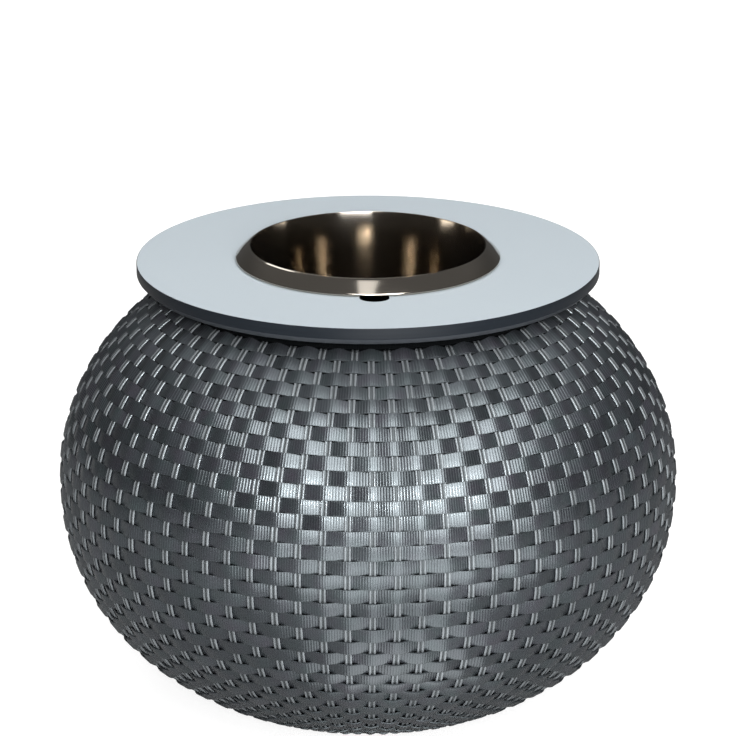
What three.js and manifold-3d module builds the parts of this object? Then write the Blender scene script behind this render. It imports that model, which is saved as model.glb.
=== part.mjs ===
import * as THREE from "three";
import { mergeVertices } from "three/addons/utils/BufferGeometryUtils.js";
import Module from "manifold-3d";

// Ice bucket coffee table: a woven ball on a tube frame, a round laminate top and a lift-out bucket.
// Millimetres, +Z up. The table stands on the floor at z = 0, with its upright axis at x = 0, y = 0.
// The finger notch of the top points to -Y, which is the front.

const wasm = await Module();
wasm.setup();

// Woven body: the curve of its outer face, and its two openings
const body_radius = 260;
const upper_height = 209;
const upper_curve_power = 2.02;
const lower_height = 209.5;
const lower_curve_power = 2.15;
const top_opening_radius = 155.3;
const base_opening_radius = 118;

// Weave: upright stakes, and rows of strap that pass over and under them
const stake_count = 82;
const first_stake_turn = THREE.MathUtils.degToRad(-91.9);
const stake_thickness = 1.3;
const row_pitch = 11.85;
const weave_depth = 2.4;
const strap_thickness = 0.6;

// Clearances: between pieces that touch, round a loose piece, and what a cut runs past its work
const seat_gap = 0.3;
const bolt_clearance = 0.4;
const cut_overrun = 1;

// Tube frame
const ring_tube_radius = 8;
const rib_tube_radius = 5;
const hoop_tube_radius = 5;
const rib_count = 8;
const rib_clearance = 1.75;
const hoop_gap = 0.7;

// Wrapped borders that close the weave over the two end rings
const border_sweep = THREE.MathUtils.degToRad(85);

// Laminate top
const top_radius = 192;
const top_thickness = 14.5;
const top_bevel = 5.5;
const top_shadow_gap = 2.25;
const hole_clearance = 2;

// Finger notch in the edge of the top's hole
const notch_radius = 25;
const notch_reach = 5;

// Lift-out bucket
const mouth_radius = 97.5;
const mouth_rise = 12.5;
const flange_width = 12.5;
const flange_bow = 1.4;
const bucket_depth = 180;
const bucket_floor_radius = 84;
const bucket_corner_radius = 12;
const bucket_sheet = 1.2;
const bead_radius = 1.5;

// Brackets on the end rings, and what they hold
const bracket_count = 4;
const bracket_length = 28;
const bracket_width = 26;
const bracket_thickness = 4;
const bolt_radius = 3;
const bolt_bite = 9;
const screw_head_radius = 6;
const screw_head_height = 3.5;
const spacer_radius = 9;
const glide_drop = 16.5;
const glide_radius = 9;
const glide_foot_height = 8;
const nut_width = 10;
const nut_height = 5;

// Facets
const round_sides = 36;
const top_sides = 72;
const wall_sides = stake_count / 2;
const wall_rows = 11;
const tube_sides = 6;
const rib_steps = 12;
const bolt_sides = 8;
const corner_steps = 3;
const flange_steps = 3;
const bead_steps = 4;
const border_steps = 2;

// Colours and finishes
const laminate = new THREE.MeshStandardMaterial({ color: 0xc3cbd2, roughness: 0.38, metalness: 0 });
const woven_strap = new THREE.MeshStandardMaterial({ color: 0x4a4e52, roughness: 0.42, metalness: 0 });
const powder_coat = new THREE.MeshStandardMaterial({ color: 0x33363a, roughness: 0.5, metalness: 0.3 });
const polished_steel = new THREE.MeshStandardMaterial({ color: 0x9c9a94, roughness: 0.08, metalness: 1 });
const plain_steel = new THREE.MeshStandardMaterial({ color: 0xb4b6b8, roughness: 0.35, metalness: 1 });
const rubber = new THREE.MeshStandardMaterial({ color: 0x1c1c1e, roughness: 0.85, metalness: 0 });
const nylon = new THREE.MeshStandardMaterial({ color: 0x26272a, roughness: 0.6, metalness: 0 });

// Curve of the woven body, as a section at the right of its upright axis.
// An angle of zero is the widest level, positive angles are above it, and heights count from it.
function curve_half(angle) {
  if (angle < 0) {
    return { height: -lower_height, power: lower_curve_power };
  }
  return { height: upper_height, power: upper_curve_power };
}

function face_point(angle, inset) {
  const half = curve_half(angle);
  const across_share = Math.pow(Math.cos(angle), 2 / half.power);
  const up_share = Math.pow(Math.abs(Math.sin(angle)), 2 / half.power);
  const outward = new THREE.Vector2(
    Math.pow(across_share, half.power - 1) / body_radius,
    Math.pow(up_share, half.power - 1) / half.height,
  ).normalize();
  return new THREE.Vector3(
    body_radius * across_share - inset * outward.x,
    0,
    half.height * up_share - inset * outward.y,
  );
}

function opening_angle(opening_radius, power) {
  return Math.acos(Math.pow(opening_radius / body_radius, power / 2));
}

const top_angle = opening_angle(top_opening_radius, upper_curve_power);
const base_angle = -opening_angle(base_opening_radius, lower_curve_power);

// The section from the base opening to the top opening, moved inwards by an inset
// and shortened at both ends by a trim.
class BodySection extends THREE.Curve {
  constructor(inset, trim = 0) {
    super();
    this.inset = inset;
    this.from = base_angle;
    this.to = top_angle;
    const trim_share = trim / this.getLength();
    const ends = [trim_share, 1 - trim_share].map((share) => this.angle_at(this.getUtoTmapping(share)));
    [this.from, this.to] = ends;
    this.updateArcLengths();
  }

  angle_at(share) {
    return THREE.MathUtils.lerp(this.from, this.to, share);
  }

  getPoint(share) {
    return face_point(this.angle_at(share), this.inset);
  }
}

// Places that follow from the section, as insets from its outer face
const strap_back_inset = weave_depth + strap_thickness;
const stake_inset = strap_back_inset + seat_gap;
const weave_thickness = stake_inset + stake_thickness;
const ring_inset = weave_thickness + seat_gap + ring_tube_radius;
const rib_inset = weave_thickness + rib_clearance + rib_tube_radius;
const ring_line = new BodySection(ring_inset);
const base_ring_centre = ring_line.getPoint(0);
const top_ring_centre = ring_line.getPoint(1);
const border_reach = ring_inset;
const top_underside = top_ring_centre.z + border_reach + top_shadow_gap;
const top_face = top_underside + top_thickness;
const widest_level = glide_drop + bracket_thickness / 2 - base_ring_centre.z;
const flange_radius = mouth_radius + flange_width;
const hole_radius = mouth_radius + bucket_sheet + hole_clearance;
const bolt_hole_radius = bolt_radius + bolt_clearance;

// Shapes and solids

// A point at a height on an upright circle round the axis
function around(radius, turn, height) {
  return new THREE.Vector3(radius * Math.cos(turn), radius * Math.sin(turn), height);
}

// Equal turns round the axis, the first at +X
function equal_turns(count) {
  return Array.from({ length: count }, (_, place) => (place / count) * 2 * Math.PI);
}

// A closed solid from loops round the axis: each loop is joined to the next, and the last to the first.
// The loops go up the outside and come down the inside, and a loop may have half as many points as
// another. Four points between two loops make two triangles, which are split from the first point, or
// where split_beside says so, from the point beside it.
function solid_from_loops(loops, split_beside = () => false) {
  const most_points = Math.max(...loops.map((loop) => loop.length));
  const first_of_loop = loops.map((_, order) => loops.slice(0, order).flat().length);
  const vertex_at = (order, place) => {
    const size = loops[order].length;
    return first_of_loop[order] + (Math.floor((place * size) / most_points) % size);
  };
  const triangles = [];
  loops.forEach((_, order) => {
    const next = (order + 1) % loops.length;
    for (let place = 0; place < most_points; place += 1) {
      const corners = [
        vertex_at(order, place),
        vertex_at(order, place + 1),
        vertex_at(next, place + 1),
        vertex_at(next, place),
      ];
      if (split_beside(order, place)) {
        corners.push(corners.shift());
      }
      const [first, second, third, fourth] = corners;
      for (const triangle of [[first, second, third], [first, third, fourth]]) {
        if (new Set(triangle).size === triangle.length) {
          triangles.push(...triangle);
        }
      }
    }
  });
  const solid = new THREE.BufferGeometry().setFromPoints(loops.flat());
  solid.setIndex(triangles);
  solid.computeVertexNormals();
  return solid;
}

// A solid of revolution from points of radius and height, which go up the outside
function revolved(profile, sides) {
  const outline = profile.map(([radius, height]) => new THREE.Vector2(radius, height));
  return new THREE.LatheGeometry(outline, sides).rotateX(Math.PI / 2);
}

// The same for a ring, whose profile comes back to its first point
function revolved_ring(profile, sides) {
  return revolved([...profile, profile[0]], sides);
}

function circle_points(radius, sides) {
  return equal_turns(sides).map((turn) => new THREE.Vector2(Math.cos(turn), Math.sin(turn)).multiplyScalar(radius));
}

function plate(outline, thickness) {
  return new THREE.ExtrudeGeometry(outline, { depth: thickness, bevelEnabled: false });
}

// Points of radius and height on an arc in the section, from one direction to another
function arc_points(centre, radius, from, to, steps) {
  return Array.from({ length: steps + 1 }, (_, step) => {
    const direction = THREE.MathUtils.lerp(from, to, step / steps);
    return [centre.x + radius * Math.cos(direction), centre.z + radius * Math.sin(direction)];
  });
}

// The radius that is clear inside a round hole made of flat sides
function clear_radius(radius, sides) {
  return radius * Math.cos(Math.PI / sides);
}

// Cuts

function solid_of(geometry, face_of_triangle) {
  const bare = geometry.clone();
  bare.deleteAttribute("normal");
  bare.deleteAttribute("uv");
  const merged = mergeVertices(bare);
  const corners = merged.index.array;
  const mesh = { numProp: 3, vertProperties: merged.attributes.position.array, triVerts: new Uint32Array(corners) };
  if (face_of_triangle) {
    const point = (corner) => new THREE.Vector3().fromBufferAttribute(merged.attributes.position, corners[corner]);
    mesh.faceID = Uint32Array.from({ length: corners.length / 3 }, (_, triangle) => {
      const first = 3 * triangle;
      return face_of_triangle([point(first), point(first + 1), point(first + 2)], triangle);
    });
  }
  return new wasm.Manifold(new wasm.Mesh(mesh));
}

function geometry_of(solid) {
  const mesh = solid.getMesh();
  const geometry = new THREE.BufferGeometry();
  geometry.setAttribute("position", new THREE.BufferAttribute(mesh.vertProperties, 3));
  geometry.setIndex(new THREE.BufferAttribute(mesh.triVerts, 1));
  geometry.computeVertexNormals();
  return geometry;
}

// The object and its two groups: the table, with heights from the widest level, and the bucket in it
const ice_bucket_coffee_table = new THREE.Group();
const table = new THREE.Group();
table.position.z = widest_level;
ice_bucket_coffee_table.add(table);

function add_piece(name, geometry, material, turn = 0) {
  const piece = new THREE.Mesh(geometry, material);
  piece.name = name;
  piece.rotation.z = turn;
  table.add(piece);
}

// Woven body, in two layers that lie on each other. Loop points stand where the stakes do.
function weave_loop(sides, point_at) {
  return equal_turns(sides).map((turn, stake) => {
    const point = point_at(stake);
    return around(point.x, first_stake_turn + turn, point.z);
  });
}

// A smooth face of a layer, from the base to the top. It is coarser than the weave, but its first and
// last loops follow the borders as closely as the weave does.
function smooth_face(inset) {
  return new BodySection(inset)
    .getSpacedPoints(wall_rows)
    .map((point, row) => weave_loop(row % wall_rows ? wall_sides : stake_count, () => point));
}

// Inner layer: the stakes, side by side as one closed wall
function woven_shell() {
  return solid_from_loops([...smooth_face(stake_inset), ...smooth_face(weave_thickness).reverse()]);
}

// Outer layer: the rows of strap. A strap stands out where it passes over a stake and falls back by the
// weave's depth where it passes under one, and the stakes change places with every row. Row 0 is at the
// base and passes under stake 0.
function weft_straps() {
  const out = new BodySection(0);
  const back = new BodySection(weave_depth);
  const row_count = Math.round(out.getLength() / row_pitch);
  const end_of = (share) => weave_loop(stake_count, () => out.getPointAt(share));
  const rows = Array.from({ length: row_count }, (_, row) => {
    const row_middle = (2 * row + 1) / (2 * row_count);
    return weave_loop(stake_count, (stake) => ((row + stake) % 2 ? out : back).getPointAt(row_middle));
  });
  // A strap stands out as a low pyramid, so the triangles are split between the points that lie back
  const split_beside = (order, place) => (order + place) % 2 === 0;
  const face = [end_of(0), ...rows, end_of(1)];
  return solid_from_loops([...face, ...smooth_face(strap_back_inset).reverse()], split_beside);
}

// A border is a wrap round an end ring. It starts beside the end of the weave, runs over the side of
// the ring that faces away from the body, and ends on the ring's inner side.
function border(ring_centre, weave_end, turning) {
  const reach = Math.atan2(weave_end.z - ring_centre.z, weave_end.x - ring_centre.x);
  const inner_radius = ring_tube_radius + seat_gap;
  const from = reach + (turning * seat_gap) / inner_radius;
  const to = reach + turning * border_sweep;
  const outside = arc_points(ring_centre, border_reach, from, to, border_steps);
  const inside = arc_points(ring_centre, inner_radius, to, from, border_steps + 1);
  const profile = [...outside, ...inside];
  return revolved_ring(turning > 0 ? profile : profile.reverse(), round_sides);
}

add_piece("woven_shell", woven_shell(), woven_strap);
add_piece("weft_straps", weft_straps(), woven_strap);
add_piece("top_border", border(top_ring_centre, face_point(top_angle, 0), 1), woven_strap);
add_piece("base_border", border(base_ring_centre, face_point(base_angle, 0), -1), woven_strap);

// Tube frame
function hoop(centre_radius, height, tube_radius) {
  const ring = new THREE.TorusGeometry(centre_radius, tube_radius, tube_sides, round_sides);
  return ring.translate(0, 0, height);
}

function rib() {
  const path = new BodySection(rib_inset, ring_tube_radius + seat_gap);
  const section = new THREE.Shape(circle_points(rib_tube_radius, tube_sides));
  return new THREE.ExtrudeGeometry(section, { extrudePath: path, steps: rib_steps, bevelEnabled: false });
}

const waist_radius = body_radius - rib_inset - rib_tube_radius - hoop_gap - hoop_tube_radius;
add_piece("top_ring", hoop(top_ring_centre.x, top_ring_centre.z, ring_tube_radius), powder_coat);
add_piece("waist_ring", hoop(waist_radius, 0, hoop_tube_radius), powder_coat);
add_piece("base_ring", hoop(base_ring_centre.x, base_ring_centre.z, ring_tube_radius), powder_coat);
equal_turns(rib_count).forEach((turn, place) => {
  add_piece(`rib_${place + 1}`, rib(), powder_coat, turn);
});

// Brackets: flat lugs on the inner side of an end ring, with a bolt hole and a round nose
function bracket_hole_place(ring_centre) {
  return bracket_end_radius(ring_centre) - bracket_length + bracket_width / 2;
}

function bracket_end_radius(ring_centre) {
  return clear_radius(ring_centre.x - ring_tube_radius, round_sides) - seat_gap;
}

function bracket(ring_centre) {
  const end_radius = bracket_end_radius(ring_centre);
  const half_width = bracket_width / 2;
  const end_turn = Math.asin(half_width / end_radius);
  const outline = new THREE.Shape();
  outline.absarc(0, 0, end_radius, -end_turn, end_turn, false);
  outline.absarc(bracket_hole_place(ring_centre), 0, half_width, Math.PI / 2, Math.PI * 1.5, false);
  outline.holes.push(
    new THREE.Path(
      circle_points(bolt_hole_radius, bolt_sides).map((point) =>
        point.add(new THREE.Vector2(bracket_hole_place(ring_centre), 0)),
      ),
    ),
  );
  const lug = new THREE.ExtrudeGeometry(outline, {
    depth: bracket_thickness,
    curveSegments: corner_steps,
    bevelEnabled: false,
  });
  return lug.translate(0, 0, ring_centre.z - bracket_thickness / 2);
}

// Spacer between a top bracket and the top
function spacer() {
  const low = top_ring_centre.z + bracket_thickness / 2 + seat_gap;
  const high = top_underside - seat_gap;
  const profile = [
    [bolt_hole_radius, low],
    [spacer_radius, low],
    [spacer_radius, high],
    [bolt_hole_radius, high],
  ];
  return revolved_ring(profile, bolt_sides);
}

// Screw that goes up through a top bracket and its spacer into the top
function top_screw() {
  const under_bracket = top_ring_centre.z - bracket_thickness / 2 - seat_gap;
  const head_chamfer = screw_head_height / 2;
  const profile = [
    [0, under_bracket - screw_head_height],
    [screw_head_radius - head_chamfer, under_bracket - screw_head_height],
    [screw_head_radius, under_bracket - head_chamfer],
    [screw_head_radius, under_bracket],
    [bolt_radius, under_bracket],
    [bolt_radius, top_underside + bolt_bite],
    [0, top_underside + bolt_bite],
  ];
  return revolved(profile, bolt_sides);
}

// Levelling glide: a moulded foot on a bolt that goes up through a base bracket
function glide() {
  const floor_level = -widest_level;
  const nut_top = base_ring_centre.z + bracket_thickness / 2 + seat_gap + nut_height;
  const foot_chamfer = glide_foot_height / 4;
  const profile = [
    [0, floor_level],
    [glide_radius - foot_chamfer / 2, floor_level],
    [glide_radius, floor_level + foot_chamfer / 2],
    [glide_radius, floor_level + glide_foot_height - foot_chamfer],
    [glide_radius - foot_chamfer, floor_level + glide_foot_height],
    [bolt_radius, floor_level + glide_foot_height],
    [bolt_radius, nut_top + bolt_radius],
    [0, nut_top + bolt_radius],
  ];
  return revolved(profile, bolt_sides);
}

function glide_nut() {
  const hexagon = new THREE.Shape(circle_points(nut_width / Math.sqrt(3), 6));
  hexagon.holes.push(new THREE.Path(circle_points(bolt_hole_radius, bolt_sides)));
  return plate(hexagon, nut_height).translate(0, 0, base_ring_centre.z + bracket_thickness / 2 + seat_gap);
}

// Four of each, under ribs, at 45 degrees to the front
const top_bolt_place = bracket_hole_place(top_ring_centre);
const base_bolt_place = bracket_hole_place(base_ring_centre);
const bracket_turns = equal_turns(bracket_count).map((turn) => turn + Math.PI / bracket_count);
bracket_turns.forEach((turn, place) => {
  const number = place + 1;
  add_piece(`top_bracket_${number}`, bracket(top_ring_centre), powder_coat, turn);
  add_piece(`top_spacer_${number}`, spacer().translate(top_bolt_place, 0, 0), rubber, turn);
  add_piece(`top_screw_${number}`, top_screw().translate(top_bolt_place, 0, 0), plain_steel, turn);
  add_piece(`glide_bracket_${number}`, bracket(base_ring_centre), powder_coat, turn);
  add_piece(`glide_${number}`, glide().translate(base_bolt_place, 0, 0), nylon, turn);
  add_piece(`glide_nut_${number}`, glide_nut().translate(base_bolt_place, 0, 0), plain_steel, turn);
});

// Laminate top: a disc with a bevelled lower edge, a round hole, and a notch for a finger in the
// front of the hole, which reaches past the bucket's flange.
const notch_centre = flange_radius + notch_reach - notch_radius;
const front_turn = -Math.PI / 2;

function hole_edge_radius(turn) {
  const aside = notch_centre * Math.sin(turn - front_turn);
  if (Math.abs(aside) >= notch_radius || Math.cos(turn - front_turn) < 0) {
    return hole_radius;
  }
  const notch_edge = notch_centre * Math.cos(turn - front_turn) + Math.sqrt(notch_radius ** 2 - aside ** 2);
  return Math.max(hole_radius, notch_edge);
}

function table_top() {
  const circle = (radius, height) => equal_turns(top_sides).map((turn) => around(radius, turn, height));
  const hole_edge = (height) => equal_turns(top_sides).map((turn) => around(hole_edge_radius(turn), turn, height));
  const served_radius = flange_radius + 2 * notch_reach;
  const disc = solid_from_loops([
    hole_edge(top_underside),
    circle(top_radius - top_bevel, top_underside),
    circle(top_radius, top_underside + top_bevel),
    circle(top_radius, top_face),
    circle(served_radius, top_face),
    hole_edge(top_face),
  ]);
  // The face outside the bucket's collar stays a face of its own when the screw holes are cut
  const outer_face = 0;
  const face_of_triangle = (corners, triangle) => {
    const on_outer_face = corners.every(
      (corner) => corner.z > top_face - seat_gap && Math.hypot(corner.x, corner.y) > served_radius - seat_gap,
    );
    return on_outer_face ? outer_face : triangle + 1;
  };
  let solid = solid_of(disc, face_of_triangle);
  bracket_turns.forEach((turn) => {
    const depth = bolt_bite + bolt_clearance + cut_overrun;
    const drill = new THREE.CylinderGeometry(bolt_hole_radius, bolt_hole_radius, depth, bolt_sides);
    const place = around(top_bolt_place, turn, top_underside - cut_overrun + depth / 2);
    drill.rotateX(Math.PI / 2).translate(place.x, place.y, place.z);
    solid = solid.subtract(solid_of(drill));
  });
  return geometry_of(solid);
}

add_piece("table_top", table_top(), laminate);

// Lift-out bucket of spun sheet: a flat floor with a round corner, a tapered wall, a mouth above the
// top, and a bell flange that slopes from the mouth to a rolled bead, which rests on the top.
function ice_bucket() {
  const mouth_level = top_face + mouth_rise;
  const floor_level = mouth_level - bucket_depth;
  const corner_centre = new THREE.Vector3(
    bucket_floor_radius - bucket_corner_radius,
    0,
    floor_level + bucket_corner_radius,
  );
  const corner = (radius, from, to) => arc_points(corner_centre, radius, from, to, corner_steps);
  const bead_centre = new THREE.Vector3(flange_radius - bead_radius, 0, top_face + seat_gap + bead_radius);
  const mouth_lip = new THREE.Vector3(mouth_radius + bucket_sheet, 0, mouth_level);
  const slope = new THREE.Vector3().subVectors(bead_centre, mouth_lip);
  const outward = new THREE.Vector3(-slope.z, 0, slope.x).normalize();
  // The bell's two faces are bowed cones, the inner one a sheet's thickness under the outer one,
  // which ends on the top of the bead
  const bell = (inset) =>
    Array.from({ length: flange_steps }, (_, step) => {
      const share = step / flange_steps;
      const stand_off = flange_bow * Math.sin(share * Math.PI) + bead_radius * share - inset;
      const point = mouth_lip.clone().addScaledVector(slope, share).addScaledVector(outward, stand_off);
      return [point.x, point.z];
    });
  const bell_direction = Math.atan2(outward.z, outward.x);
  const profile = [
    [0, floor_level - bucket_sheet],
    ...corner(bucket_corner_radius + bucket_sheet, -Math.PI / 2, 0),
    [mouth_radius, mouth_level - mouth_rise],
    ...bell(bucket_sheet),
    ...arc_points(bead_centre, bead_radius, bell_direction - Math.PI, bell_direction, bead_steps),
    ...bell(0).reverse(),
    [mouth_radius, mouth_level],
    ...corner(bucket_corner_radius, 0, -Math.PI / 2),
    [0, floor_level],
  ];
  return revolved(profile, round_sides);
}

add_piece("ice_bucket", ice_bucket(), polished_steel);

export default ice_bucket_coffee_table;
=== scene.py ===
"""Ice bucket coffee table: a woven ball on a tube frame, a laminate top and a lift-out steel bucket.

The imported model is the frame, in metres, with +Z up and the front at -Y. The weave, the tubes, the top,
the bucket and the turned parts are remade here in full detail, in the places that the frame gives them.
The brackets and nuts of the frame stay, with better finishes.
"""

import logging
import math
from collections.abc import Iterable, Sequence
from dataclasses import dataclass, field
from enum import Enum

import bmesh
import bpy
import numpy as np
from mathutils import Matrix, Vector


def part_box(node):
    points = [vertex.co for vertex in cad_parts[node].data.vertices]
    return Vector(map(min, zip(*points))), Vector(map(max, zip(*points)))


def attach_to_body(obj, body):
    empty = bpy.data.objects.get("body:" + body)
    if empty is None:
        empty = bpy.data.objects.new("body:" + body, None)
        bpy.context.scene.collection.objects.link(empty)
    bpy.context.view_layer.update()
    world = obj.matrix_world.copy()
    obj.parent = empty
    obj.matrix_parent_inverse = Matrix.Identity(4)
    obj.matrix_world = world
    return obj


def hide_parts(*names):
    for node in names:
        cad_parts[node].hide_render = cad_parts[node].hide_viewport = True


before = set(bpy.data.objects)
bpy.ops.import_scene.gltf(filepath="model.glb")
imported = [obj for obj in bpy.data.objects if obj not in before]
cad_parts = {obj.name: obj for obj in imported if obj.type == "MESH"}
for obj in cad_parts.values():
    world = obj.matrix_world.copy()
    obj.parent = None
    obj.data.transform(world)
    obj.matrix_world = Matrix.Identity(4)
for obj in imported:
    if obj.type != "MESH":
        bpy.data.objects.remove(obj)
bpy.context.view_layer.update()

LOG = logging.getLogger("ice_bucket_coffee_table")

MM = 0.001
WELD_DISTANCE = 0.001 * MM
FULL_TURN = 2 * math.pi
UPRIGHT = Vector((0, 0, 1))
WHITE = (1, 1, 1, 1)
PLAIN_OCTAVES = 2
FINE_OCTAVES = 3
RICH_OCTAVES = 4
Socket = bpy.types.NodeSocket
Profile = list[tuple[float, float]]
Colour = tuple[float, float, float]
Inputs = dict[str | int, object]


class Slot(Enum):
    """Material slots."""

    LAMINATE = "laminate"
    WOVEN_STRAP = "woven_strap"
    POWDER_COAT = "powder_coat"
    POLISHED_STEEL = "polished_steel"
    PLAIN_STEEL = "plain_steel"
    RUBBER = "rubber"
    NYLON = "nylon"


class Body(Enum):
    """Bodies of the frame that pieces ride on."""

    TABLE = "table"
    BUCKET = "bucket"


# Finishes


class Graph:
    """A node tree that is cleared and wired again."""

    def __init__(self, tree: bpy.types.NodeTree) -> None:
        """Clear the node tree of a material or a world, and keep it."""
        self.tree = tree
        tree.nodes.clear()

    def node(self, kind: str, inputs: Inputs | None = None, **settings: object) -> bpy.types.Node:
        """Add a node.

        Args:
            kind: The node's type name, without its ShaderNode prefix.
            inputs: Values or output sockets for its inputs, by name or number.
            **settings: Values for the node's own properties.

        Returns:
            The new node.
        """
        node = self.tree.nodes.new(f"ShaderNode{kind}")
        for name, value in settings.items():
            setattr(node, name, value)
        for key, value in (inputs or {}).items():
            if isinstance(value, Socket):
                self.tree.links.new(value, node.inputs[key])
            else:
                node.inputs[key].default_value = value
        return node

    def place(self) -> Socket:
        """Return the place on the piece, in metres."""
        return self.node("TexCoord").outputs["Object"]

    def attribute(self, name: str) -> Socket:
        """Return a value that the piece's vertices carry, or 0 where they don't."""
        return self.node("Attribute", attribute_name=name).outputs["Fac"]

    def noise(self, scale: float, octaves: float = PLAIN_OCTAVES, vector: Socket | None = None) -> Socket:
        """Add a noise pattern, its scale in waves a metre, read at the place on the piece or at a vector."""
        inputs = {"Vector": vector or self.place(), "Scale": scale, "Detail": octaves}
        return self.node("TexNoise", inputs).outputs["Fac"]

    def blend(self, share: Socket, low: Colour, high: Colour) -> Socket:
        """Mix two colours: all of the low one at a share of 0, and all of the high one at 1."""
        inputs = {"Factor": share, "A": (*low, 1), "B": (*high, 1)}
        return self.node("Mix", inputs, data_type="RGBA").outputs["Result"]

    def between(self, share: Socket, low: float, high: float) -> Socket:
        """Map a pattern that runs from 0 to 1 to a range from low to high."""
        return self.node("MapRange", {"Value": share, "To Min": low, "To Max": high}).outputs["Result"]

    def bump(self, height: Socket, depth: float) -> Socket:
        """Turn a height pattern, with its depth in metres, into a normal."""
        return self.node("Bump", {"Height": height, "Distance": depth, "Strength": 1}).outputs["Normal"]

    def surface(self, shader: Socket, output: str = "OutputMaterial") -> None:
        """Join a shader to the output node, whose type name is given where it isn't a material's."""
        self.node(output, {"Surface": shader})


@dataclass(frozen=True)
class Finish:
    """What all finishes have: a name, two tones, a range of roughness, and a material made once."""

    name: str
    dark: Colour
    light: Colour
    roughness: tuple[float, float]

    def wire(self, graph: Graph) -> Inputs:
        """Wire the patterns and return what goes into the surface's shader."""
        raise NotImplementedError

    def material(self) -> bpy.types.Material:
        """Make the material, or find it where it is made already.

        Returns:
            The material.
        """
        found = bpy.data.materials.get(self.name)
        if found:
            return found
        made = bpy.data.materials.new(self.name)
        made.use_nodes = True
        graph = Graph(made.node_tree)
        graph.surface(graph.node("BsdfPrincipled", self.wire(graph)).outputs["BSDF"])
        return made


@dataclass(frozen=True)
class StrapFinish(Finish):
    """Extruded polyethylene strap: fine grain, tones that differ from strap to strap, dull worn places, and
    painted shade in its grooves and at its edges.
    """

    warm: Colour = (1, 1, 1)
    cool: Colour = (1, 1, 1)
    shine: float = 0.5
    sheen_tint: Colour = (0.84, 0.95, 1)
    groove_roughness: float = 0.32
    groove_painted_shade: float = 0.5
    weathering: float = 0.18
    grain_scale: float = 2400
    grain_depth: float = 0.04 * MM
    patch_scale: float = 55

    def wire(self, graph: Graph) -> Inputs:
        """Wire the patterns.

        Args:
            graph: The material's graph.

        Returns:
            What goes into the surface's shader.
        """
        patches = graph.noise(self.patch_scale, FINE_OCTAVES)
        grain = graph.noise(self.grain_scale)
        base = graph.blend(graph.attribute("tone"), self.dark, self.light)
        both = {"Factor": 1, "A": base, "B": graph.blend(patches, self.warm, self.cool)}
        tinted = graph.node("Mix", both, data_type="RGBA", blend_type="MULTIPLY")
        # Painted shade: the colour is darkened in the rib grooves, at the strap's edges and in the web
        # between a stake's strands.
        shade = graph.between(graph.attribute("groove"), 1, self.groove_painted_shade)
        shaded = graph.node("VectorMath", {0: tinted.outputs["Result"], "Scale": shade}, operation="SCALE")
        roughness = graph.between(patches, *self.roughness)
        for name, added in (("groove", self.groove_roughness), ("weathered", self.weathering)):
            terms = {0: graph.attribute(name), 1: added, 2: roughness}
            roughness = graph.node("Math", terms, operation="MULTIPLY_ADD").outputs["Value"]
        return {
            "Base Color": shaded.outputs["Vector"],
            "Roughness": roughness,
            "Specular IOR Level": self.shine,
            "Specular Tint": (*self.sheen_tint, 1),
            "Normal": graph.bump(grain, self.grain_depth),
        }


@dataclass(frozen=True)
class LaminateCore(Finish):
    """Near-black core of compact laminate at its cut edge, with faint layers."""

    roughness: tuple[float, float] = (0.3, 0.42)
    shine: float = 0.12
    layers: float = 900
    layer_depth: float = 0.03 * MM
    layer_spread: float = 0.02

    def wire(self, graph: Graph) -> Inputs:
        """Wire the patterns.

        Args:
            graph: The material's graph.

        Returns:
            What goes into the surface's shader.
        """
        spread = (self.layer_spread, self.layer_spread, 1)
        flat = graph.node("Mapping", {"Vector": graph.place(), "Scale": spread})
        layers = graph.noise(self.layers, PLAIN_OCTAVES, flat.outputs["Vector"])
        return {
            "Base Color": graph.blend(layers, self.dark, self.light),
            "Roughness": graph.between(layers, *self.roughness),
            "Specular IOR Level": self.shine,
            "Normal": graph.bump(layers, self.layer_depth),
        }


@dataclass(frozen=True)
class SpunSteel(Finish):
    """Polished spun steel with faint rings from the spinning tool and dull patches from handling."""

    roughness: tuple[float, float] = (0.07, 0.14)
    rings: float = 700
    ring_depth: float = 0.012 * MM
    patch_scale: float = 18

    def wire(self, graph: Graph) -> Inputs:
        """Wire the patterns.

        Args:
            graph: The material's graph.

        Returns:
            What goes into the surface's shader.
        """
        parts = graph.node("SeparateXYZ", {"Vector": graph.place()}).outputs
        level = graph.node("CombineXYZ", {"X": parts["X"], "Y": parts["Y"]}).outputs["Vector"]
        radius = graph.node("VectorMath", {0: level}, operation="LENGTH").outputs["Value"]
        along = graph.node("Math", {0: radius, 1: parts["Z"]}, operation="SUBTRACT").outputs["Value"]
        turned = {"W": along, "Scale": self.rings, "Detail": FINE_OCTAVES}
        ring = graph.node("TexNoise", turned, noise_dimensions="1D")
        patches = graph.noise(self.patch_scale, RICH_OCTAVES)
        return {
            "Base Color": graph.blend(patches, self.light, self.dark),
            "Metallic": 1,
            "Roughness": graph.between(patches, *self.roughness),
            "Normal": graph.bump(ring.outputs["Fac"], self.ring_depth),
        }


@dataclass(frozen=True)
class GrainFinish(Finish):
    """A plain finish: two near tones, a fine grain, and dull and smooth patches."""

    metallic: float = 0
    shine: float = 0.5
    grain_scale: float = 1600
    grain_depth: float = 0.06 * MM
    patch_scale: float = 40
    patch_octaves: float = FINE_OCTAVES

    def wire(self, graph: Graph) -> Inputs:
        """Wire the patterns.

        Args:
            graph: The material's graph.

        Returns:
            What goes into the surface's shader.
        """
        grain = graph.noise(self.grain_scale, FINE_OCTAVES)
        patches = graph.noise(self.patch_scale, self.patch_octaves)
        return {
            "Base Color": graph.blend(patches, self.dark, self.light),
            "Metallic": self.metallic,
            "Specular IOR Level": self.shine,
            "Roughness": graph.between(patches, *self.roughness),
            "Normal": graph.bump(grain, self.grain_depth),
        }


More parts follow.
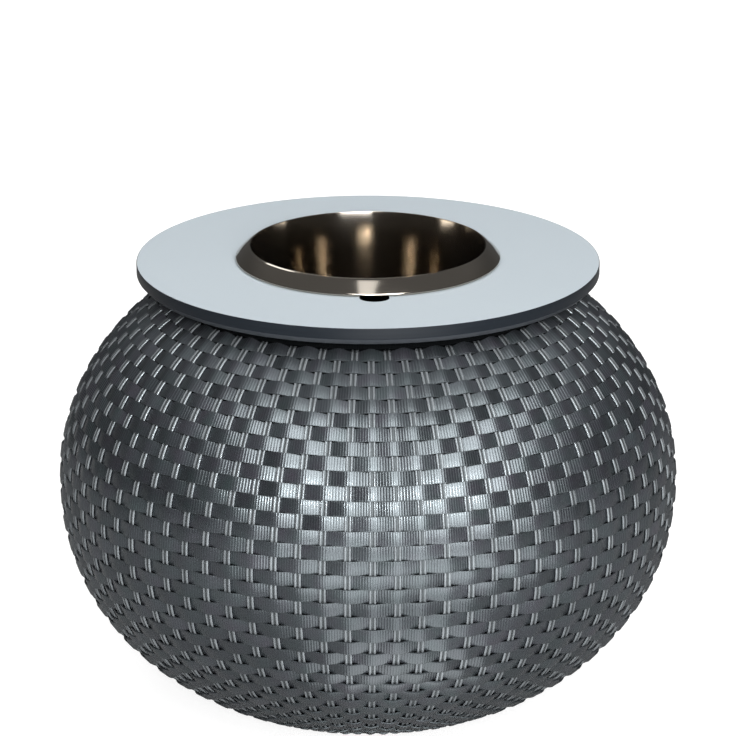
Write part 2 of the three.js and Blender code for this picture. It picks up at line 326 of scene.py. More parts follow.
STRAP = StrapFinish(
    "weft strap",
    dark=(0.011, 0.0125, 0.0145),
    light=(0.026, 0.029, 0.033),
    roughness=(0.17, 0.25),
    warm=(1.35, 0.9, 1.15),
    cool=(0.75, 1.15, 0.95),
    shine=1,
)
# Near-black, matt copy of the strap: painted shade, used for the top row, the wall behind the weave and the
# wraps at the end rings.
PAINTED_SHADE_STRAP = StrapFinish(
    "painted shade strap",
    dark=(0.003, 0.0035, 0.004),
    light=(0.005, 0.0055, 0.006),
    roughness=(0.5, 0.6),
    shine=0.1,
)
STAKE = StrapFinish(
    "stake strip",
    dark=(0.1, 0.108, 0.115),
    light=(0.145, 0.156, 0.164),
    roughness=(0.18, 0.26),
    shine=1,
    groove_painted_shade=0.12,
)
FACE = GrainFinish(
    "laminate face",
    dark=(0.39, 0.436, 0.468),
    light=(0.413, 0.46, 0.491),
    roughness=(0.6, 0.7),
    shine=0.05,
    grain_scale=1300,
    grain_depth=0.02 * MM,
    patch_scale=9,
    patch_octaves=RICH_OCTAVES,
)
CORE = LaminateCore("laminate core", dark=(0.006, 0.008, 0.011), light=(0.011, 0.014, 0.018))
# The bevel is the same core made lighter: a painted reflection of the pale floor that it faces.
PAINTED_REFLECTION_BEVEL = LaminateCore("laminate bevel", dark=(0.03, 0.034, 0.04), light=(0.042, 0.047, 0.054), shine=0.3)
BUCKET_STEEL = SpunSteel("polished steel", dark=(0.37, 0.335, 0.29), light=(0.43, 0.395, 0.345))
COAT = GrainFinish(
    "powder coat", dark=(0.03, 0.032, 0.036), light=(0.042, 0.044, 0.048), roughness=(0.42, 0.55)
)
BOLT_STEEL = GrainFinish(
    "plain steel",
    dark=(0.42, 0.43, 0.44),
    light=(0.5, 0.51, 0.52),
    roughness=(0.28, 0.4),
    metallic=1,
    grain_scale=2600,
    grain_depth=0.02 * MM,
    patch_scale=65,
)
RUBBER = GrainFinish(
    "rubber", dark=(0.011, 0.011, 0.012), light=(0.018, 0.018, 0.019), roughness=(0.75, 0.9)
)
NYLON = GrainFinish("nylon", dark=(0.016, 0.017, 0.019), light=(0.026, 0.027, 0.03), roughness=(0.5, 0.62))


# Shapes


def profile_edges(mesh: bmesh.types.BMesh, points: Profile, closed: bool) -> list[bmesh.types.BMEdge]:
    """Lay a profile into the upright plane y = 0.

    Args:
        mesh: The mesh that the profile is added to.
        points: Radii and heights.
        closed: Whether the last point joins the first.

    Returns:
        The profile's edges.
    """
    corners = [mesh.verts.new((radius, 0, height)) for radius, height in points]
    pairs = list(zip(corners, corners[1:]))
    if closed:
        pairs.append((corners[-1], corners[0]))
    return [mesh.edges.new(pair) for pair in pairs]


def repeated(mesh: bmesh.types.BMesh, copies: int) -> None:
    """Repeat all of a mesh round the upright axis.

    Args:
        mesh: The mesh.
        copies: How many of it fill the full turn.
    """
    bmesh.ops.spin(
        mesh,
        geom=mesh.verts[:] + mesh.edges[:] + mesh.faces[:],
        axis=UPRIGHT,
        angle=FULL_TURN * (copies - 1) / copies,
        steps=copies - 1,
        use_duplicate=True,
    )


def spun(points: Profile, steps: int, sectors: int = 1, closed: bool = False) -> bmesh.types.BMesh:
    """Spin a profile a full turn round the upright axis.

    Args:
        points: Radii and heights.
        steps: Steps in the full turn.
        sectors: How many equal sectors it is made of, as a sector that is repeated is made much faster.
        closed: Whether the profile is a loop, as on a ring, or ends on the axis.

    Returns:
        The closed shape, with its normals outwards.
    """
    mesh = bmesh.new()
    edges = profile_edges(mesh, points, closed)
    bmesh.ops.spin(
        mesh,
        geom=mesh.verts[:] + edges,
        axis=UPRIGHT,
        angle=FULL_TURN / sectors,
        steps=steps // sectors,
        use_merge=sectors == 1,
    )
    if sectors > 1:
        repeated(mesh, sectors)
    bmesh.ops.remove_doubles(mesh, verts=mesh.verts, dist=WELD_DISTANCE)
    bmesh.ops.recalc_face_normals(mesh, faces=mesh.faces)
    return mesh


def arc(centre: tuple[float, float], radius: float, start: float, end: float, steps: int) -> Profile:
    """Lay points on an arc of the profile's plane, from one direction to another, both ends included."""
    turns = np.linspace(start, end, steps + 1)
    return [(centre[0] + radius * math.cos(turn), centre[1] + radius * math.sin(turn)) for turn in turns]


def finished(
    name: str,
    mesh: bmesh.types.BMesh,
    finishes: Sequence[Finish],
    stands_for: Iterable[str] = (),
    body: Body = Body.TABLE,
) -> bpy.types.Object:
    """Make an object of a mesh, dress it and set what it rides on.

    Args:
        name: The piece's name.
        mesh: The modelled mesh, which is freed.
        finishes: A finish for each material index.
        stands_for: The frame's nodes that the piece replaces.
        body: The body it rides on.

    Returns:
        The new object.
    """
    data = bpy.data.meshes.new(name)
    for part in mesh.faces:
        part.smooth = True
    mesh.to_mesh(data)
    mesh.free()
    for finish in finishes:
        data.materials.append(finish.material())
    piece = bpy.data.objects.new(name, data)
    bpy.context.scene.collection.objects.link(piece)
    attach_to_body(piece, body.value)
    nodes = list(stands_for)
    if nodes:
        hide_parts(*nodes)
    LOG.info("%s: %d faces", name, len(data.polygons))
    return piece


def attach(piece: bpy.types.Object, name: str, values: np.ndarray) -> None:
    """Give each of a piece's vertices a value under a name that its finish reads."""
    attribute = piece.data.attributes.new(name, "FLOAT", "POINT")
    attribute.data.foreach_set("value", values)


# The woven body


@dataclass
class BodyCurve:
    """Section of the woven body's face, from the base opening to the top opening."""

    body_radius: float = 260 * MM
    upper_height: float = 209 * MM
    upper_power: float = 2.02
    lower_height: float = 209.5 * MM
    lower_power: float = 2.15
    top_opening_radius: float = 155.3 * MM
    base_opening_radius: float = 118 * MM
    samples: int = 4001
    widest_level: float = field(init=False)
    length: float = field(init=False)

    def __post_init__(self) -> None:
        """Measure the curve by its length."""
        low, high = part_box("waist_ring")
        self.widest_level = (low[2] + high[2]) / 2
        top = math.acos((self.top_opening_radius / self.body_radius) ** (self.upper_power / 2))
        base = math.acos((self.base_opening_radius / self.body_radius) ** (self.lower_power / 2))
        angle = np.linspace(-base, top, self.samples)
        power = np.where(angle < 0, self.lower_power, self.upper_power)
        height = np.where(angle < 0, -self.lower_height, self.upper_height)
        across = np.cos(angle) ** (2 / power)
        up = np.abs(np.sin(angle)) ** (2 / power)
        outward = np.stack([across ** (power - 1) / self.body_radius, up ** (power - 1) / height])
        self._outward = outward / np.linalg.norm(outward, axis=0)
        self._face = np.stack([self.body_radius * across, self.widest_level + height * up])
        steps = np.linalg.norm(np.diff(self._face, axis=1), axis=0)
        self._along = np.concatenate([[0], np.cumsum(steps)])
        self.length = float(self._along[-1])

    def at(self, along: float, inset: float = 0) -> tuple[Vector, Vector]:
        """Find a place on the section.

        Args:
            along: The length from the base opening.
            inset: How far under the face.

        Returns:
            The place and the outward direction, both in the plane y = 0.
        """
        face = [float(np.interp(along, self._along, part)) for part in self._face]
        outward = Vector([float(np.interp(along, self._along, part)) for part in self._outward]).normalized()
        way = Vector((outward[0], 0, outward[1]))
        return Vector((face[0], 0, face[1])) - inset * way, way


def bent_tube(mesh: bmesh.types.BMesh, section: Profile, places: Sequence[tuple[Vector, Vector]]) -> None:
    """Raise a closed section into a straight tube, a storey for each place, and bend it onto the places.

    Args:
        mesh: The mesh that the tube is added to.
        section: Points of the section: sideways along Y, and outwards.
        places: Places of the section's centre in the plane y = 0, each with its outward direction.
    """
    known = len(mesh.verts)
    corners = [mesh.verts.new((out, side, 0)) for side, out in section]
    cap = mesh.faces.new(corners)
    storeys = len(places) - 1
    base = corners + cap.edges[:]
    raised = bmesh.ops.spin(mesh, geom=base, axis=UPRIGHT, dvec=UPRIGHT, angle=0, steps=storeys)
    last_edges = [part for part in raised["geom_last"] if isinstance(part, bmesh.types.BMEdge)]
    bmesh.ops.edgeloop_fill(mesh, edges=last_edges)
    for corner in mesh.verts[known:]:
        out, side, storey = corner.co
        centre, outward = places[round(storey)]
        corner.co = centre + outward * out + Vector((0, side, 0))


@dataclass
class WovenBody:
    """Rows of ribbed strap, over and under upright twin-rib stakes, with a plain closing band at the top,
    finished near-black as painted shade.
    """

    curve: BodyCurve
    stake_count: int = 82
    first_stake_turn: float = math.radians(-91.9)
    row_pitch: float = 11.85 * MM
    strap_width: float = 11.65 * MM
    strap_thickness: float = 1.2 * MM
    strap_chamfer: float = 0.9 * MM
    chamfer_drop: float = 0.14 * MM
    wave: float = 1.9 * MM
    ridge_share: float = 0.72
    ridge_softness: float = 0.12
    rib_pitch: float = 2.2 * MM
    fewest_ribs: int = 3
    rib_depth: float = 0.34 * MM
    stations_per_rib: int = 3
    squeeze: float = 0.02
    base_squeeze: float = 0.42
    top_squeeze: float = 0.16
    base_squeeze_power: int = 2
    top_squeeze_power: int = 3
    crisp_angle: float = math.radians(60)
    bow: float = 0.176 * MM
    least_bow: float = -0.6
    unevenness: float = 0.12
    roll: float = math.radians(1.6)
    rows_per_piece: int = 7
    weathered_from: float = 0.82
    weathered_to: float = 0.92
    strand_half_width: float = 1.15 * MM
    strand_half_depth: float = 0.9 * MM
    strand_sides: int = 8
    web_half_depth: float = 0.3 * MM
    web_shade_reach: float = 0.8
    strand_spread: float = 1.8 * MM
    strand_wave: float = 0.22 * MM
    wall_inset: float = 5.35 * MM
    wall_thickness: float = 0.7 * MM
    wall_stations: int = 72
    wall_steps: int = 164
    stations_per_row: int = 3
    seed: int = 11

    def __post_init__(self) -> None:
        """Count the rows and draw what differs from crossing to crossing."""
        self.row_count = round(self.curve.length / self.row_pitch)
        self.pitch = self.curve.length / self.row_count
        draw = np.random.RandomState(self.seed)
        crossings = (self.row_count, self.stake_count)
        self._height = 1 + self.unevenness * draw.uniform(-1, 1, crossings)
        self._bow = self.bow * draw.uniform(self.least_bow, 1, crossings)
        self._roll = self.roll * draw.uniform(-1, 1, crossings)
        self._tone = draw.uniform(0, 1, crossings)

    def share_up(self, number: int) -> float:
        """Return how far up the body a row lies, from 0 at the base to 1 at the top."""
        return (number + 0.5) / self.row_count

    def section(self) -> Profile:
        """Lay out the strap's section.

        Returns:
            Its points: along the body's curve, and outwards.
        """
        half = self.strap_width / 2
        front = self.strap_thickness / 2
        shoulder = half - self.strap_chamfer
        edge = front - self.chamfer_drop
        back = [(-half, -front), (half, -front)]
        return [*back, (half, edge), (shoulder, front), (-shoulder, front), (-half, edge)]

    def row(self, number: int) -> tuple[bpy.types.Mesh, np.ndarray, np.ndarray]:
        """Spin one row of strap and weave it.

        Args:
            number: The row, counted from the base.

        Returns:
            The row's mesh, and the tone and the groove depth of each vertex, which also paints shade into the
            grooves and at the edges.
        """
        centre, outward = self.curve.at((number + 0.5) * self.pitch, self.strap_thickness / 2 + self.wave)
        upward = Vector((-outward.z, 0, outward.x))
        points = [centre + upward * along + outward * out for along, out in self.section()]
        ribs = max(self.fewest_ribs, round(FULL_TURN * centre.x / self.stake_count / self.rib_pitch))
        steps = ribs * self.stations_per_rib * self.stake_count
        mesh = spun([(point.x, point.z) for point in points], steps, self.stake_count // 2, closed=True)
        data = bpy.data.meshes.new(f"row_{number}")
        mesh.to_mesh(data)
        mesh.free()

        place = np.empty(3 * len(data.vertices))
        data.vertices.foreach_get("co", place)
        place = place.reshape(-1, 3)
        turn = np.arctan2(place[:, 1], place[:, 0])
        radius = np.hypot(place[:, 0], place[:, 1])
        along = (radius - centre.x) * upward.x + (place[:, 2] - centre.z) * upward.z
        out = (radius - centre.x) * outward.x + (place[:, 2] - centre.z) * outward.z

        stake = np.mod((turn - self.first_stake_turn) / FULL_TURN * self.stake_count, self.stake_count)
        woven, tone, roll = self.weave(number, stake)
        phase = np.cos(stake * ribs * FULL_TURN)
        # The strap's edges count as grooves: rougher, and darkened as painted shade between the rows.
        edge = np.abs(along) > (self.strap_width - self.strap_chamfer) / 2
        groove = np.maximum(phase, edge)
        relief = np.where(out > 0, -self.rib_depth / 2 * phase, 0)
        share = self.share_up(number)
        below = max(0, 1 - 2 * share) ** self.base_squeeze_power
        above = max(0, 2 * share - 1) ** self.top_squeeze_power
        squeeze = self.squeeze + self.base_squeeze * below + self.top_squeeze * above
        squeezed = along * (1 - squeeze * (1 - woven / self.wave) / 2)
        lift = woven + relief + along * np.tan(roll)
        new_radius = radius + (squeezed - along) * upward.x + lift * outward.x
        place[:, 0] = new_radius * np.cos(turn)
        place[:, 1] = new_radius * np.sin(turn)
        place[:, 2] += (squeezed - along) * upward.z + lift * outward.z
        data.vertices.foreach_set("co", place.ravel())
        return data, tone, groove

    def weave(self, number: int, stake: np.ndarray) -> tuple[np.ndarray, np.ndarray, np.ndarray]:
        """Work out how far the strap stands out at places along a row.

        Args:
            number: The row, counted from the base.
            stake: The places, in stake pitches from stake 0.

        Returns:
            The stand-out, the tone and the roll at each place.
        """
        if number == self.row_count - 1:
            return np.full_like(stake, self.wave), np.zeros_like(stake), np.zeros_like(stake)
        before = np.floor(stake).astype(int) % self.stake_count
        after = (before + 1) % self.stake_count
        share = stake - np.floor(stake)
        side = np.where((number + before) % 2, 1, -1)
        slope = (1 - 2 * share) / self.ridge_share
        soft = self.ridge_softness
        rise = (np.sqrt((slope + 1) ** 2 + soft) - np.sqrt((slope - 1) ** 2 + soft)) / 2
        level = np.where(side > 0, self._height[number, before], self._height[number, after])
        over = np.where(side > 0, before, after)
        fade = 0.5 + 0.5 * side * rise
        woven = self.wave * (side * rise * np.where(side * rise > 0, level, 1))
        woven += self._bow[number, before] * np.sin(share * math.pi) ** 2
        return woven, self._tone[number, over], self._roll[number, over] * fade

    def build_straps(self) -> None:
        """Build the rows of strap, some to a piece."""
        finishes = [STRAP, PAINTED_SHADE_STRAP]
        for first in range(0, self.row_count, self.rows_per_piece):
            joined = bmesh.new()
            values: dict[str, list[np.ndarray]] = {"tone": [], "groove": [], "weathered": []}
            for number in range(first, min(first + self.rows_per_piece, self.row_count)):
                data, tone, groove = self.row(number)
                worn = np.interp(self.share_up(number), [self.weathered_from, self.weathered_to], [0, 1])
                values["tone"].append(tone)
                values["groove"].append(groove)
                values["weathered"].append(np.full_like(tone, worn))
                known = len(joined.faces)
                joined.from_mesh(data)
                bpy.data.meshes.remove(data)
                # The top row takes the near-black strap: painted shade under the top's overhang.
                if number == self.row_count - 1:
                    joined.faces.ensure_lookup_table()
                    for part in joined.faces[known:]:
                        part.material_index = finishes.index(PAINTED_SHADE_STRAP)
            name = f"weft_rows_{first // self.rows_per_piece + 1}"
            stands_for = [] if first else ["weft_straps"]
            piece = finished(name, joined, finishes, stands_for)
            piece.data.set_sharp_from_angle(angle=self.crisp_angle)
            for attribute, rows in values.items():
                attach(piece, attribute, np.concatenate(rows))

    def stake_section(self) -> Profile:
        """Lay out a stake's section: two round strands that a thin web joins.

        Returns:
            Its points: sideways, and outwards.
        """
        notch = math.asin(self.web_half_depth / self.strand_half_depth)
        section = []
        for side, start in ((1, notch - math.pi), (-1, notch)):
            for turn in np.linspace(start, start + FULL_TURN - 2 * notch, self.strand_sides):
                aside = side * self.strand_spread + self.strand_half_width * math.cos(turn)
                section.append((aside, self.strand_half_depth * math.sin(turn)))
        return section

    def build_stakes(self) -> None:
        """Build the stakes: even ones, then odd ones, whose waves run opposite."""
        rows = self.row_count - 1
        alongs = np.linspace(0, rows * self.pitch, rows * self.stations_per_row + 1)
        web_edge = self.strand_spread - self.strand_half_width * self.web_shade_reach
        for parity, name in enumerate(("stakes_even", "stakes_odd")):
            mesh = bmesh.new()
            sign = 1 if parity == 0 else -1
            places = []
            for along in alongs:
                wave = self.strand_wave * math.cos(math.pi * (along / self.pitch - 0.5)) * sign
                places.append(self.curve.at(float(along), self.strap_thickness / 2 + self.wave - wave))
            bent_tube(mesh, self.stake_section(), places)
            # The web between the two strands is marked so that its colour is darkened as painted shade.
            groove = mesh.verts.layers.float.new("groove")
            for corner in mesh.verts:
                corner[groove] = float(abs(corner.co.y) < web_edge)
            copies = self.stake_count // 2
            repeated(mesh, copies)
            turn = self.first_stake_turn + parity * FULL_TURN / self.stake_count
            bmesh.ops.rotate(mesh, verts=mesh.verts, cent=(0, 0, 0), matrix=Matrix.Rotation(turn, 3, "Z"))
            bmesh.ops.recalc_face_normals(mesh, faces=mesh.faces)
            piece = finished(name, mesh, [STAKE])
            tone = np.random.RandomState(self.seed + parity).uniform(0, 1, copies)
            attach(piece, "tone", np.repeat(tone, len(piece.data.vertices) // copies))

    def build_wall(self) -> None:
        """Build the thin dark wall behind the rows, which closes the gaps of the weave: a near-black sheet of
        painted shade where the body's inside is only in shadow.
        """
        alongs = np.linspace(0, self.curve.length, self.wall_stations + 1)
        back = self.wall_inset + self.wall_thickness
        outside = [self.curve.at(float(along), self.wall_inset)[0] for along in alongs]
        inside = [self.curve.at(float(along), back)[0] for along in alongs[::-1]]
        mesh = spun([(point.x, point.z) for point in outside + inside], self.wall_steps, closed=True)
        finished("painted_shade_wall", mesh, [PAINTED_SHADE_STRAP], ["woven_shell"])

    def build(self) -> None:
        """Build the whole weave."""
        self.build_wall()
        self.build_straps()
        self.build_stakes()


# The tube frame and the borders


@dataclass
class TubeFrame:
    """The hidden frame: two end rings, a waist ring and bent ribs, as round tubes."""

    curve: BodyCurve
    ring_tube_radius: float = 8 * MM
    waist_tube_radius: float = 5 * MM
    rib_tube_radius: float = 5 * MM
    rib_inset: float = 11.35 * MM
    rib_count: int = 8
    tube_sides: int = 20
    ring_steps: int = 120
    rib_stations: int = 40

    def ring_centre(self, node: str, tube_radius: float) -> tuple[float, float]:
        """Return the radius and height of a ring's tube centre, from the frame."""
        low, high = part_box(node)
        return high[0] - tube_radius, (low[2] + high[2]) / 2

    def build(self) -> None:
        """Build the rings and the ribs."""
        rings = {
            "top_ring": self.ring_tube_radius,
            "waist_ring": self.waist_tube_radius,
            "base_ring": self.ring_tube_radius,
        }
        for node, tube_radius in rings.items():
            centre = self.ring_centre(node, tube_radius)
            points = arc(centre, tube_radius, 0, FULL_TURN, self.tube_sides)[:-1]
            mesh = spun(points, self.ring_steps, closed=True)
            finished(f"{node}_tube", mesh, [COAT], [node])
        section = arc((0, 0), self.rib_tube_radius, 0, FULL_TURN, self.tube_sides)[:-1]
        trim = self.ring_tube_radius
        alongs = np.linspace(trim, self.curve.length - trim, self.rib_stations)
        places = [self.curve.at(float(along), self.rib_inset) for along in alongs]
        for number in range(self.rib_count):
            mesh = bmesh.new()
            bent_tube(mesh, section, places)
            turn = Matrix.Rotation(number / self.rib_count * FULL_TURN, 3, "Z")
            bmesh.ops.rotate(mesh, verts=mesh.verts, cent=(0, 0, 0), matrix=turn)
            bmesh.ops.recalc_face_normals(mesh, faces=mesh.faces)
            node = f"rib_{number + 1}"
            finished(f"{node}_tube", mesh, [COAT], [node])


@dataclass
class WrappedBorder:
    """A strap that is wound round an end ring and closes the weave; its near-black finish is painted shade.
    """

    tubes: TubeFrame
    node: str
    turning: int
    along: float
    reach: float = 12.7 * MM
    thickness: float = 1.2 * MM
    sweep: float = math.radians(215)
    wrap_width: float = 11.85 * MM
    stations_per_wrap: int = 6
    arc_steps: int = 18
    crown: float = 0.45 * MM
    slant: float = 0.8

    def build(self) -> None:
        """Build the border and weave its wraps."""
        ring = self.node.replace("border", "ring")
        centre = self.tubes.ring_centre(ring, self.tubes.ring_tube_radius)
        weave_end, _ = self.tubes.curve.at(self.along)
        reach_turn = math.atan2(weave_end.z - centre[1], weave_end.x - centre[0])
        start = reach_turn + self.turning * self.thickness / self.reach
        end = reach_turn + self.turning * self.sweep
        outside = arc(centre, self.reach, start, end, self.arc_steps)
        inside = arc(centre, self.reach - self.thickness, end, start, self.arc_steps)
        wraps = round(FULL_TURN * centre[0] / self.wrap_width)
        mesh = spun(outside + inside, wraps * self.stations_per_wrap, wraps, closed=True)
        for corner in mesh.verts:
            turn = math.atan2(corner.co.y, corner.co.x)
            radius = math.hypot(corner.co.x, corner.co.y)
            arm = Vector((radius - centre[0], corner.co.z - centre[1]))
            swing = (math.atan2(arm.y, arm.x) - reach_turn) * self.turning % FULL_TURN
            phase = turn / FULL_TURN * wraps + swing / math.pi * self.slant
            lift = self.crown * (math.sqrt(abs(math.sin(phase * math.pi))) - 1)
            arm *= 1 + lift / arm.length
            new_radius = centre[0] + arm.x
            corner.co = (new_radius * math.cos(turn), new_radius * math.sin(turn), centre[1] + arm.y)
        finished(f"{self.node}_wrap", mesh, [PAINTED_SHADE_STRAP], [self.node])


# The top, the bucket and the fasteners


@dataclass
class LaminateTop:
    """The round top: a pale face, a black core with a bevelled lower edge painted lighter as a painted
    reflection of the floor, and a hole with a finger notch.
    """

    outer_radius: float = 192 * MM
    bevel: float = 5.5 * MM
    hole_radius: float = 100.7 * MM
    notch_radius: float = 13 * MM
    notch_centre: float = 108 * MM
    chamfer: float = 0.5 * MM
    chamfer_crown: float = 0.15 * MM
    bevel_inner: float = 0.2 * MM
    bevel_outer: float = 0.3 * MM
    flat_start: float = 2 * MM
    face_sheet: float = 0.7 * MM
    face_tolerance: float = 0.05 * MM
    hole_margin: float = 0.75 * MM
    crisp_angle: float = math.radians(35)
    steps: int = 360

    def hole_edge(self, turn: float) -> float:
        """Find the hole's edge, notch included.

        Args:
            turn: The direction from the axis.

        Returns:
            The edge's radius.
        """
        away = turn + math.pi / 2
        aside = self.notch_centre * math.sin(away)
        if abs(aside) >= self.notch_radius or math.cos(away) < 0:
            return self.hole_radius
        edge = self.notch_centre * math.cos(away) + math.sqrt(self.notch_radius**2 - aside**2)
        return max(self.hole_radius, edge)

    def build(self) -> None:
        """Build the top."""
        low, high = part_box("table_top")
        under, face = low[2], high[2]
        outer, hole = self.outer_radius, self.hole_radius
        chamfer = self.chamfer
        points = [
            (hole, under + chamfer),
            (hole + chamfer, under),
            (outer - self.bevel - self.flat_start, under),
            (outer - self.bevel - chamfer, under),
            (outer - self.bevel, under + self.bevel_inner),
            (outer - self.bevel_inner, under + self.bevel - self.bevel_inner),
            (outer, under + self.bevel + self.bevel_outer),
            (outer, face - self.face_sheet),
            (outer, face - chamfer),
            (outer - self.chamfer_crown, face - self.chamfer_crown),
            (outer - chamfer, face),
            (outer - self.flat_start, face),
            (hole + chamfer, face),
            (hole, face - chamfer),
            (hole, face - self.face_sheet),
        ]
        mesh = spun(points, self.steps, closed=True)
        for corner in mesh.verts:
            radius = math.hypot(corner.co.x, corner.co.y)
            if radius < hole + self.hole_margin:
                turn = math.atan2(corner.co.y, corner.co.x)
                scale = (self.hole_edge(turn) + radius - hole) / radius
                corner.co.x *= scale
                corner.co.y *= scale
        finishes = [FACE, CORE, PAINTED_REFLECTION_BEVEL]
        for part in mesh.faces:
            middle = part.calc_center_median()
            beyond_bevel = middle.xy.length > outer - self.bevel
            finish = CORE
            if middle.z > face - self.face_tolerance:
                finish = FACE
            # The lower bevel takes the lighter core, a painted reflection of the floor.
            elif beyond_bevel and middle.z < under + self.bevel:
                finish = PAINTED_REFLECTION_BEVEL
            part.material_index = finishes.index(finish)
        piece = finished("laminate_top", mesh, finishes, ["table_top"])
        piece.data.set_sharp_from_angle(angle=self.crisp_angle)


@dataclass
class IceBucket:
    """The spun steel bucket, with a bell flange that ends in a rolled bead."""

    mouth_radius: float = 97.5 * MM
    mouth_rise: float = 12.5 * MM
    flange_width: float = 12.5 * MM
    flange_bow: float = 0.5 * MM
    floor_radius: float = 84 * MM
    corner_radius: float = 12 * MM
    sheet: float = 1.2 * MM
    bead_radius: float = 1.5 * MM
    bead_gap: float = 0.3 * MM
    steps: int = 240
    corner_steps: int = 14
    bell_steps: int = 16
    bead_steps: int = 16
    lip_steps: int = 6
    wall_steps: int = 8

    def build(self) -> None:
        """Build the bucket."""
        low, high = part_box("ice_bucket")
        floor_level = low[2] + self.sheet
        mouth_level = high[2]
        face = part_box("table_top")[1][2]
        bead_start = self.mouth_radius + self.flange_width - self.bead_radius
        bead_centre = Vector((bead_start, face + self.bead_gap + self.bead_radius))
        lip = Vector((self.mouth_radius + self.sheet, mouth_level))
        slope = bead_centre - lip
        outward = Vector((-slope.y, slope.x)).normalized()
        if outward.y < 0:
            outward.negate()

        upper, lower = [], []
        for step in range(1, self.bell_steps):
            share = step / self.bell_steps
            stand_off = self.flange_bow * math.sin(share * math.pi) + self.bead_radius * share
            point = lip + slope * share + outward * stand_off
            upper.append(tuple(point))
            lower.append(tuple(point - outward * self.sheet))

        corner_centre = (self.floor_radius - self.corner_radius, floor_level + self.corner_radius)
        quarter = math.pi / 2
        direction = math.atan2(outward.y, outward.x)
        lip_radius = self.sheet / 2
        lip_centre = (self.mouth_radius + lip_radius, mouth_level - lip_radius)
        ends = (corner_centre[1], mouth_level)
        levels = np.linspace(ends[0], mouth_level - self.mouth_rise, self.wall_steps + 1)[1:-1]
        inner_wall = list(zip(np.interp(levels, ends, (self.floor_radius, self.mouth_radius)), levels))
        points = [
            (0, floor_level - self.sheet),
            *arc(corner_centre, self.corner_radius + self.sheet, -quarter, 0, self.corner_steps),
            *[(radius + self.sheet, level) for radius, level in inner_wall],
            (self.mouth_radius, mouth_level - self.mouth_rise),
            *lower,
            *arc(tuple(bead_centre), self.bead_radius, direction - math.pi, direction, self.bead_steps),
            *upper[::-1],
            *arc(lip_centre, lip_radius, direction, math.pi, self.lip_steps),
            *inner_wall[::-1],
            *arc(corner_centre, self.corner_radius, 0, -quarter, self.corner_steps),
            (0, floor_level),
        ]
        mesh = spun(points, self.steps)
        finished("spun_bucket", mesh, [BUCKET_STEEL], ["ice_bucket"], Body.BUCKET)


@dataclass
class Fasteners:
    """Screws, spacers and glides: smooth turned parts, four of each."""

    count: int = 4
    bolt_radius: float = 3 * MM
    bolt_hole_radius: float = 3.4 * MM
    spacer_radius: float = 9 * MM
    head_radius: float = 6 * MM
    head_height: float = 3.5 * MM
    dome_share: float = 0.8
    dome_points: int = 8
    foot_radius: float = 9 * MM
    foot_height: float = 8 * MM
    foot_side_height: float = 5.6 * MM
    foot_top_radius: float = 7.02 * MM
    collar_radius: float = 4.2 * MM
    edge: float = 1 * MM
    crisp_angle: float = math.radians(40)
    steps: int = 40

    def profiles(self, low: float, high: float) -> dict[str, Profile]:
        """Lay out the profiles: of a spacer, of a screw with a domed head, and of a foot on its bolt.

        Args:
            low: The lower end's height.
            high: The upper end's height.

        Returns:
            The points of each kind's profile.
        """
        edge = self.edge
        rise = self.head_height * self.dome_share
        dome = [
            (self.head_radius * math.sin(turn), low + rise * (1 - math.cos(turn)))
            for turn in np.linspace(0, math.pi / 2, self.dome_points)
        ]
        bolt_end = [(self.bolt_radius, high - edge), (self.bolt_radius - edge, high), (0, high)]
        return {
            "top_spacer": [
                (self.bolt_hole_radius, low),
                (self.spacer_radius - edge, low),
                (self.spacer_radius, low + edge),
                (self.spacer_radius, high - edge),
                (self.spacer_radius - edge, high),
                (self.bolt_hole_radius, high),
            ],
            "top_screw": [
                *dome,
                (self.head_radius, low + self.head_height),
                (self.bolt_radius, low + self.head_height),
                *bolt_end,
            ],
            "glide": [
                (0, low),
                (self.foot_radius - edge, low),
                (self.foot_radius, low + edge),
                (self.foot_radius, low + self.foot_side_height),
                (self.foot_top_radius, low + self.foot_height),
                (self.collar_radius, low + self.foot_height),
                (self.bolt_radius, low + self.foot_height + edge),
                *bolt_end,
            ],
        }

    def build(self) -> None:
        """Build the turned parts where the frame has them."""
        kinds = {
            "top_spacer": (RUBBER, Slot.RUBBER),
            "top_screw": (BOLT_STEEL, Slot.PLAIN_STEEL),
            "glide": (NYLON, Slot.NYLON),
        }
        for kind, (finish, slot) in kinds.items():
            for number in range(1, self.count + 1):
                node = f"{kind}_{number}"
                low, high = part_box(node)
                profile = self.profiles(low[2], high[2])[kind]
                mesh = spun(profile, self.steps, closed=kind == "top_spacer")
                centre = ((low[0] + high[0]) / 2, (low[1] + high[1]) / 2, 0)
                bmesh.ops.translate(mesh, verts=mesh.verts, vec=centre)
                piece = finished(f"{node}_turned", mesh, [finish], [node])
                piece.data.set_sharp_from_angle(angle=self.crisp_angle)


def dress_kept_nodes() -> None:
    """Give the frame's brackets and nuts, which stay, their finishes."""
    kinds = {"top_bracket": COAT, "glide_bracket": COAT, "glide_nut": BOLT_STEEL}
    for node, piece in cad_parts.items():
        for kind, finish in kinds.items():
            if node.startswith(f"{kind}_"):
                piece.data.materials.clear()
                piece.data.materials.append(finish.material())


# The studio


